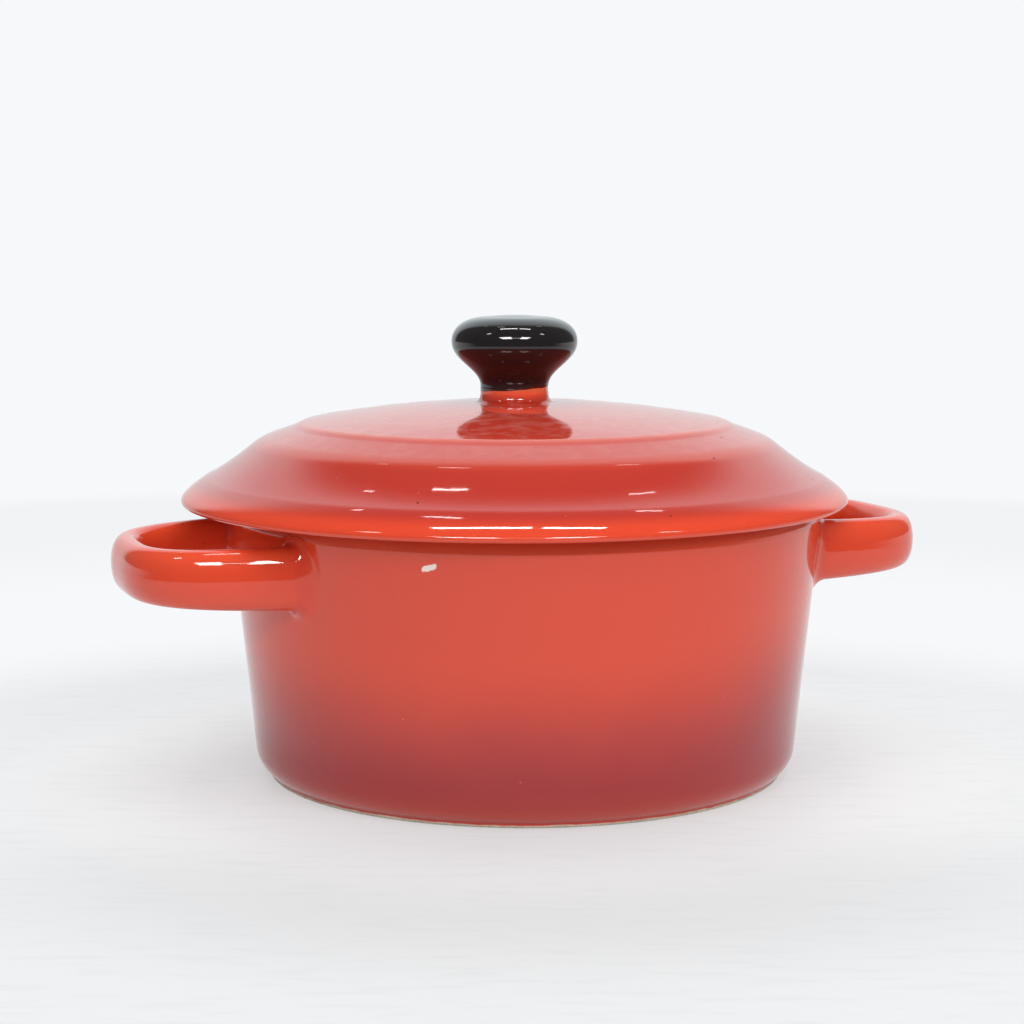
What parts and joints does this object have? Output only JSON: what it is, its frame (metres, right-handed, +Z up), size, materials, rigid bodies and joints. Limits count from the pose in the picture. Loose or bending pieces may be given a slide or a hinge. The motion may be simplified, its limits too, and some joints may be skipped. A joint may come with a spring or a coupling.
{
  "type": "single-portion casserole",
  "caption": "Small round glazed stoneware casserole: a tapered bowl with loop handles and a stepped domed lid with a mushroom knob, which lifts off to serve from oven to table.",
  "frame": {"origin": "middle of the foot ring, on the surface that the casserole stands on", "axes": "+X through the handles, towards the right one, +Z up"},
  "size_m": [0.1408, 0.113, 0.0778],
  "materials": {
    "red_glaze": "gloss",
    "black_glaze": "gloss"
  },
  "bodies": {
    "pot_body": {"bowl": "red_glaze", "left_handle": "red_glaze", "right_handle": "red_glaze"},
    "lid_body": {"lid": "red_glaze", "knob": "black_glaze"}
  },
  "joints": [
    {"name": "lid_lift", "type": "slide", "parent": "pot_body", "child": "lid_body", "axis": [0, 0, 1], "range_m": [0, 0.08]}
  ]
}
